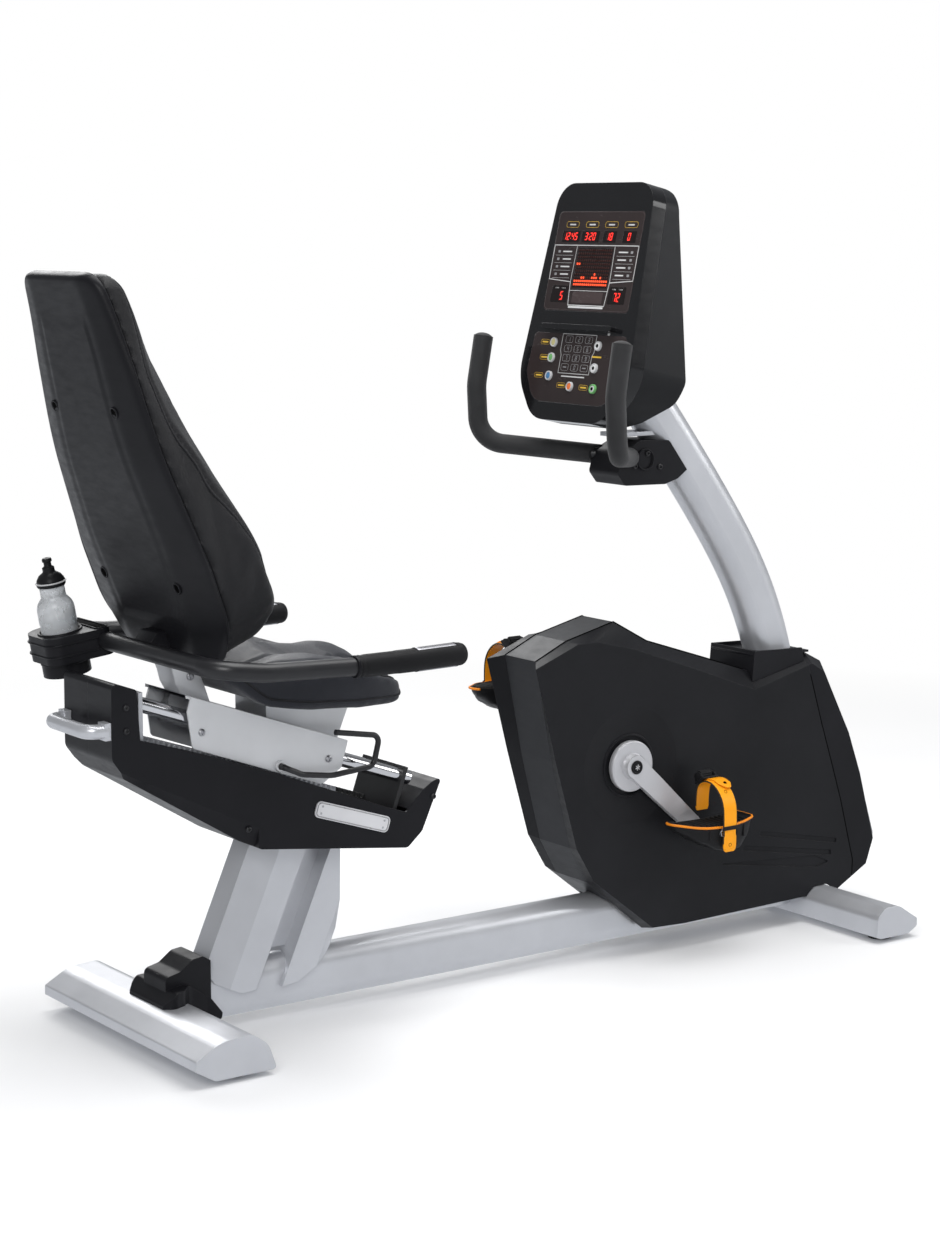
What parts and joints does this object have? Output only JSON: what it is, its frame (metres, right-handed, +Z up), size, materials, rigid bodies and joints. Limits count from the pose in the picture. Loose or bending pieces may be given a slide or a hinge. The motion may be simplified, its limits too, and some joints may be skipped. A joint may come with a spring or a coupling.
{
  "type": "recumbent exercise bike",
  "caption": "Recumbent exercise bike: sliding padded seat with backrest and side grips, enclosed crank drive with strapped pedals, curved mast with console and handlebar.",
  "frame": {"origin": "on the floor, under the centre of the outline", "axes": "+X the way the rider faces, +Y the rider's left, +Z up"},
  "size_m": [1.6416, 0.5482, 1.3044],
  "materials": {
    "silver_paint": "satin metallic powder coat",
    "black_steel": "semi-gloss black powder coat",
    "rubber": "matte",
    "wheel_plastic": "moulded",
    "black_plastic": "fine spark texture",
    "chrome_rail": "polished",
    "badge_metal": "satin",
    "bearing_steel": "machined",
    "arm_alloy": "satin painted",
    "pulley_alloy": "cast",
    "flywheel_iron": "machined",
    "belt_rubber": "ribbed",
    "brake_steel": "matte",
    "strap_yellow": "satin moulded",
    "overlay_film": "smooth film",
    "board": "laminate",
    "foam_black": "fine foam",
    "sensor_metal": "brushed",
    "vinyl_black": "grained vinyl over foam",
    "bottle_clear": "translucent",
    "key_cream": "smooth",
    "key_green": "smooth",
    "key_blue": "smooth",
    "key_white": "smooth",
    "key_orange": "smooth"
  },
  "bodies": {
    "frame": {"main_beam": "silver_paint", "rear_foot": "silver_paint", "front_foot": "silver_paint", "foot_end_caps": "silver_paint", "seat_posts": "silver_paint", "mast": "silver_paint", "transport_handle": "silver_paint", "rail_carrier": "silver_paint", "drive_frame": "black_steel", "handlebar": "black_steel", "rubber_feet": "rubber", "rear_foot_cover": "black_plastic", "housing_right": "black_plastic", "housing_left": "black_plastic", "mast_collar": "black_plastic", "shroud_front_cover": "black_plastic", "shroud_top_cover": "black_plastic", "shroud_right": "black_plastic", "shroud_left": "black_plastic", "console_housing": "black_plastic", "console_bezel": "black_plastic", "handlebar_bracket": "black_plastic", "guide_rails": "chrome_rail", "badge_plate": "badge_metal", "crank_bearings": "bearing_steel", "drive_belt": "belt_rubber", "magnetic_brake": "brake_steel", "display_overlays": "overlay_film", "circuit_board": "board", "handlebar_grips": "foam_black"},
    "seat": {"seat_carriage": "silver_paint", "seat_cushion": "vinyl_black", "backrest_bracket": "silver_paint", "backrest_shell": "black_plastic", "backrest_pad": "vinyl_black", "seat_handlebar": "black_steel", "seat_grips": "foam_black", "pulse_sensors": "sensor_metal", "bottle_tray": "black_plastic"},
    "crank": {"crank_axle": "bearing_steel", "crank_arm_right": "arm_alloy", "crank_arm_left": "arm_alloy", "crank_pulley": "pulley_alloy", "pedal_spindles": "bearing_steel"},
    "pedal_r": {"pedal_right": "black_plastic", "pedal_strap_right": "strap_yellow"},
    "pedal_l": {"pedal_left": "black_plastic", "pedal_strap_left": "strap_yellow"},
    "flywheel": {"flywheel": "flywheel_iron"},
    "lever": {"release_lever": "black_steel"},
    "bottle": {"bottle": "bottle_clear"},
    "wheel_r": {"transport_wheel_right": "wheel_plastic"},
    "wheel_l": {"transport_wheel_left": "wheel_plastic"},
    "key_program": {"button_program": "key_cream"},
    "key_level": {"button_level": "key_green"},
    "key_mode": {"button_mode": "key_blue"},
    "key_up": {"button_up": "key_white"},
    "key_down": {"button_down": "key_white"},
    "key_start": {"button_start": "key_orange"},
    "key_stop": {"button_stop": "key_green"}
  },
  "joints": [
    {"name": "seat_slide", "type": "slide", "parent": "frame", "child": "seat", "axis": [0.9426, 0, -0.3338], "range_m": [-0.0855, 0.114]},
    {"name": "crank_spin", "type": "hinge", "parent": "frame", "child": "crank", "pos_m": [0.23, 0, 0.336], "axis": [0, 1, 0], "continuous": true},
    {"name": "pedal_right_spin", "type": "hinge", "parent": "crank", "child": "pedal_r", "pos_m": [0.35634, -0.12, 0.22225], "axis": [0, 1, 0], "continuous": true},
    {"name": "pedal_left_spin", "type": "hinge", "parent": "crank", "child": "pedal_l", "pos_m": [0.10366, 0.12, 0.44975], "axis": [0, 1, 0], "continuous": true},
    {"name": "flywheel_spin", "type": "hinge", "parent": "frame", "child": "flywheel", "pos_m": [0.42, 0, 0.23], "axis": [0, 1, 0], "continuous": true},
    {"name": "release_lever_lift", "type": "hinge", "parent": "seat", "child": "lever", "pos_m": [-0.458, -0.04, 0.419], "axis": [0, -1, 0], "range_deg": [0, 12]},
    {"name": "bottle_lift", "type": "slide", "parent": "seat", "child": "bottle", "axis": [-0.1736, 0, 0.9848], "range_m": [0, 0.12]},
    {"name": "wheel_right_spin", "type": "hinge", "parent": "frame", "child": "wheel_r", "pos_m": [0.715, -0.165, 0.02], "axis": [0, 1, 0], "continuous": true},
    {"name": "wheel_left_spin", "type": "hinge", "parent": "frame", "child": "wheel_l", "pos_m": [0.715, 0.165, 0.02], "axis": [0, 1, 0], "continuous": true},
    {"name": "press_program", "type": "slide", "parent": "frame", "child": "key_program", "axis": [0.9756, 0, -0.2195], "range_m": [0, 0.001], "stiffness_N_per_m": 400},
    {"name": "press_level", "type": "slide", "parent": "frame", "child": "key_level", "axis": [0.9756, 0, -0.2195], "range_m": [0, 0.001], "stiffness_N_per_m": 400},
    {"name": "press_mode", "type": "slide", "parent": "frame", "child": "key_mode", "axis": [0.9756, 0, -0.2195], "range_m": [0, 0.001], "stiffness_N_per_m": 400},
    {"name": "press_up", "type": "slide", "parent": "frame", "child": "key_up", "axis": [0.9756, 0, -0.2195], "range_m": [0, 0.001], "stiffness_N_per_m": 400},
    {"name": "press_down", "type": "slide", "parent": "frame", "child": "key_down", "axis": [0.9756, 0, -0.2195], "range_m": [0, 0.001], "stiffness_N_per_m": 400},
    {"name": "press_start", "type": "slide", "parent": "frame", "child": "key_start", "axis": [0.9756, 0, -0.2195], "range_m": [0, 0.001], "stiffness_N_per_m": 400},
    {"name": "press_stop", "type": "slide", "parent": "frame", "child": "key_stop", "axis": [0.9756, 0, -0.2195], "range_m": [0, 0.001], "stiffness_N_per_m": 400}
  ],
  "couplings": [
    {"joint": "flywheel_spin", "follows": "crank_spin", "ratio": 3.4}
  ]
}
